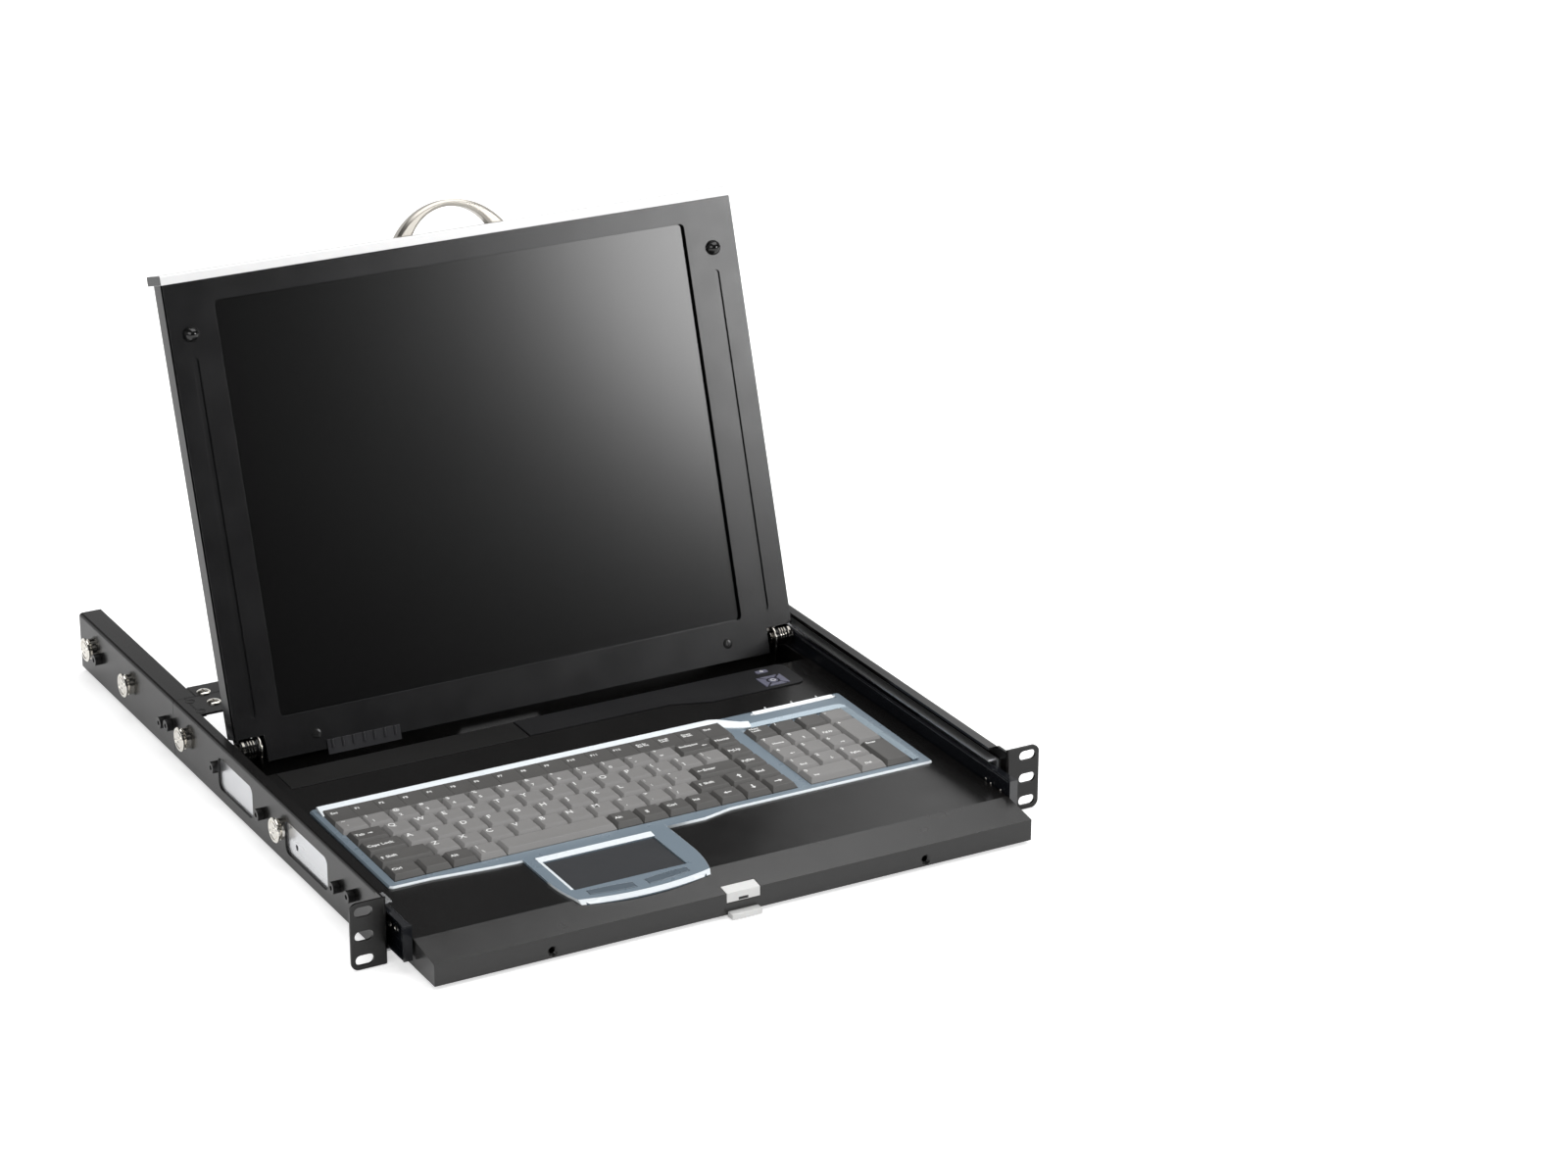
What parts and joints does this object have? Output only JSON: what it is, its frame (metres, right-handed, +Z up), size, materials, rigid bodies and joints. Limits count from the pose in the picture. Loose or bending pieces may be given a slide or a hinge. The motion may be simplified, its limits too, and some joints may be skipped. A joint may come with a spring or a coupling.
{
  "type": "rackmount console drawer",
  "caption": "One-unit rack drawer on ball-bearing slides with a keyboard and touchpad tray, and a display lid that folds down over it.",
  "frame": {"origin": "centre of the rack ears' hole pattern, on the ears' front faces", "axes": "+X to the operator's right, +Y back into the rack along the slides, +Z up"},
  "size_m": [0.4826, 0.5598, 0.3456],
  "materials": {
    "black_steel": "satin black powder coat on sheet steel",
    "textured_black": "fine-textured black coat",
    "zinc_steel": "bright zinc-plated slide steel",
    "black_slide": "glossy black-plated slide steel",
    "dark_nickel": "dark nickel plate",
    "nickel": "bright nickel plate",
    "black_fastener": "black oxide screws",
    "white_plastic": "smooth white plastic",
    "silver_face": "pale satin anodised aluminium",
    "blue_grey_plastic": "satin blue-grey plastic",
    "light_key": "grey keycap plastic, fine texture",
    "dark_key": "dark grey keycap plastic, fine texture",
    "inner_plastic": "black moulded plastic",
    "touch_surface": "dark grey touch surface",
    "clear_lens": "clear plastic light pipe",
    "panel_black": "satin black control panel",
    "soft_button": "lavender-grey button plastic",
    "screen_glass": "dark anti-glare screen, switched off",
    "bumper_rubber": "soft black rubber",
    "smoke_plastic": "smoked ribbed plastic"
  },
  "bodies": {
    "frame": {"side_bracket_left": "black_steel", "side_bracket_right": "black_steel", "rear_arm_left": "black_steel", "rear_arm_right": "black_steel", "front_bridge": "black_steel", "rear_bridge": "black_steel", "outer_slide_left": "zinc_steel", "outer_slide_right": "zinc_steel", "mounting_studs": "nickel", "side_screws": "black_fastener"},
    "drawer": {"tray_pan": "black_steel", "tray_deck": "black_steel", "front_bar": "textured_black", "inner_slide_left": "black_slide", "inner_slide_right": "black_slide", "keyboard_bezel": "blue_grey_plastic", "keyboard_base": "inner_plastic", "touchpad": "touch_surface", "indicator_lens": "clear_lens", "control_panel": "panel_black", "latch_cap": "white_plastic", "hinge_bracket_left": "dark_nickel", "hinge_bracket_right": "dark_nickel", "hinge_pin_left": "dark_nickel", "hinge_pin_right": "dark_nickel"},
    "retainers": {"ball_retainer_left": "black_slide", "ball_retainer_right": "black_slide"},
    "lid": {"lid_shell": "textured_black", "lid_bezel": "textured_black", "screen_panel": "screen_glass", "lid_face": "silver_face", "pull_handle": "nickel", "lid_bumpers": "bumper_rubber", "cable_guard": "smoke_plastic", "hinge_leaf_left": "black_steel", "hinge_leaf_right": "black_steel"},
    "latch": {"latch_release": "white_plastic"},
    "function_row_keys": {"function_row_keys": "dark_key"},
    "number_row_keys": {"number_row_keys": "light_key"},
    "upper_row_keys": {"upper_row_keys": "light_key"},
    "home_row_keys": {"home_row_keys": "light_key"},
    "enter_key": {"enter_key": "dark_key"},
    "lower_row_keys": {"lower_row_keys": "light_key"},
    "bottom_left_keys": {"bottom_left_keys": "dark_key"},
    "space_bar": {"space_bar": "light_key"},
    "bottom_right_keys": {"bottom_right_keys": "dark_key"},
    "navigation_keys": {"navigation_keys": "dark_key"},
    "numpad_top_keys": {"numpad_top_keys": "dark_key"},
    "numpad_digit_keys": {"numpad_digit_keys": "light_key"},
    "numpad_plus_key": {"numpad_plus_key": "dark_key"},
    "numpad_enter_key": {"numpad_enter_key": "dark_key"},
    "numpad_bottom_keys": {"numpad_bottom_keys": "light_key"},
    "menu_left_button": {"menu_left_button": "soft_button"},
    "menu_right_button": {"menu_right_button": "soft_button"},
    "menu_up_button": {"menu_up_button": "soft_button"},
    "menu_down_button": {"menu_down_button": "soft_button"},
    "menu_select_button": {"menu_select_button": "soft_button"},
    "screen_power_button": {"screen_power_button": "soft_button"},
    "touchpad_button_left": {"touchpad_button_left": "blue_grey_plastic"},
    "touchpad_button_right": {"touchpad_button_right": "blue_grey_plastic"}
  },
  "joints": [
    {"name": "drawer_slide", "type": "slide", "parent": "frame", "child": "drawer", "axis": [0, -1, 0], "range_m": [-0.02, 0.19]},
    {"name": "retainer_slide", "type": "slide", "parent": "frame", "child": "retainers", "axis": [0, -1, 0], "range_m": [-0.0105, 0.0955]},
    {"name": "lid_hinge", "type": "hinge", "parent": "drawer", "child": "lid", "pos_m": [0.0018, 0.2658, 0.0086], "axis": [1, 0, 0], "range_deg": [-12, 107.4]},
    {"name": "latch_press", "type": "slide", "parent": "drawer", "child": "latch", "axis": [0, 1, 0], "range_m": [0, 0.0025], "stiffness_N_per_m": 600, "springref_m": -0.002},
    {"name": "function_row_keys_press", "type": "slide", "parent": "drawer", "child": "function_row_keys", "axis": [0, 0, -1], "range_m": [0, 0.0022], "stiffness_N_per_m": 2550, "springref_m": -0.001},
    {"name": "number_row_keys_press", "type": "slide", "parent": "drawer", "child": "number_row_keys", "axis": [0, 0, -1], "range_m": [0, 0.0022], "stiffness_N_per_m": 2100, "springref_m": -0.001},
    {"name": "upper_row_keys_press", "type": "slide", "parent": "drawer", "child": "upper_row_keys", "axis": [0, 0, -1], "range_m": [0, 0.0022], "stiffness_N_per_m": 2100, "springref_m": -0.001},
    {"name": "home_row_keys_press", "type": "slide", "parent": "drawer", "child": "home_row_keys", "axis": [0, 0, -1], "range_m": [0, 0.0022], "stiffness_N_per_m": 1800, "springref_m": -0.001},
    {"name": "enter_key_press", "type": "slide", "parent": "drawer", "child": "enter_key", "axis": [0, 0, -1], "range_m": [0, 0.0022], "stiffness_N_per_m": 150, "springref_m": -0.001},
    {"name": "lower_row_keys_press", "type": "slide", "parent": "drawer", "child": "lower_row_keys", "axis": [0, 0, -1], "range_m": [0, 0.0022], "stiffness_N_per_m": 1950, "springref_m": -0.001},
    {"name": "bottom_left_keys_press", "type": "slide", "parent": "drawer", "child": "bottom_left_keys", "axis": [0, 0, -1], "range_m": [0, 0.0022], "stiffness_N_per_m": 600, "springref_m": -0.001},
    {"name": "space_bar_press", "type": "slide", "parent": "drawer", "child": "space_bar", "axis": [0, 0, -1], "range_m": [0, 0.0022], "stiffness_N_per_m": 150, "springref_m": -0.001},
    {"name": "bottom_right_keys_press", "type": "slide", "parent": "drawer", "child": "bottom_right_keys", "axis": [0, 0, -1], "range_m": [0, 0.0022], "stiffness_N_per_m": 900, "springref_m": -0.001},
    {"name": "navigation_keys_press", "type": "slide", "parent": "drawer", "child": "navigation_keys", "axis": [0, 0, -1], "range_m": [0, 0.0022], "stiffness_N_per_m": 750, "springref_m": -0.001},
    {"name": "numpad_top_keys_press", "type": "slide", "parent": "drawer", "child": "numpad_top_keys", "axis": [0, 0, -1], "range_m": [0, 0.0022], "stiffness_N_per_m": 600, "springref_m": -0.001},
    {"name": "numpad_digit_keys_press", "type": "slide", "parent": "drawer", "child": "numpad_digit_keys", "axis": [0, 0, -1], "range_m": [0, 0.0022], "stiffness_N_per_m": 1350, "springref_m": -0.001},
    {"name": "numpad_plus_key_press", "type": "slide", "parent": "drawer", "child": "numpad_plus_key", "axis": [0, 0, -1], "range_m": [0, 0.0022], "stiffness_N_per_m": 150, "springref_m": -0.001},
    {"name": "numpad_enter_key_press", "type": "slide", "parent": "drawer", "child": "numpad_enter_key", "axis": [0, 0, -1], "range_m": [0, 0.0022], "stiffness_N_per_m": 150, "springref_m": -0.001},
    {"name": "numpad_bottom_keys_press", "type": "slide", "parent": "drawer", "child": "numpad_bottom_keys", "axis": [0, 0, -1], "range_m": [0, 0.0022], "stiffness_N_per_m": 300, "springref_m": -0.001},
    {"name": "touchpad_button_left_press", "type": "slide", "parent": "drawer", "child": "touchpad_button_left", "axis": [0, 0, -1], "range_m": [0, 0.001], "stiffness_N_per_m": 500, "springref_m": -0.001},
    {"name": "touchpad_button_right_press", "type": "slide", "parent": "drawer", "child": "touchpad_button_right", "axis": [0, 0, -1], "range_m": [0, 0.001], "stiffness_N_per_m": 500, "springref_m": -0.001},
    {"name": "menu_left_button_press", "type": "slide", "parent": "drawer", "child": "menu_left_button", "axis": [0, 0, -1], "range_m": [0, 0.0006], "stiffness_N_per_m": 800, "springref_m": -0.0005},
    {"name": "menu_right_button_press", "type": "slide", "parent": "drawer", "child": "menu_right_button", "axis": [0, 0, -1], "range_m": [0, 0.0006], "stiffness_N_per_m": 800, "springref_m": -0.0005},
    {"name": "menu_up_button_press", "type": "slide", "parent": "drawer", "child": "menu_up_button", "axis": [0, 0, -1], "range_m": [0, 0.0006], "stiffness_N_per_m": 800, "springref_m": -0.0005},
    {"name": "menu_down_button_press", "type": "slide", "parent": "drawer", "child": "menu_down_button", "axis": [0, 0, -1], "range_m": [0, 0.0006], "stiffness_N_per_m": 800, "springref_m": -0.0005},
    {"name": "menu_select_button_press", "type": "slide", "parent": "drawer", "child": "menu_select_button", "axis": [0, 0, -1], "range_m": [0, 0.0006], "stiffness_N_per_m": 800, "springref_m": -0.0005},
    {"name": "screen_power_button_press", "type": "slide", "parent": "drawer", "child": "screen_power_button", "axis": [0, 0, -1], "range_m": [0, 0.0006], "stiffness_N_per_m": 800, "springref_m": -0.0005}
  ],
  "couplings": [
    {"joint": "retainer_slide", "follows": "drawer_slide", "ratio": 0.5}
  ]
}
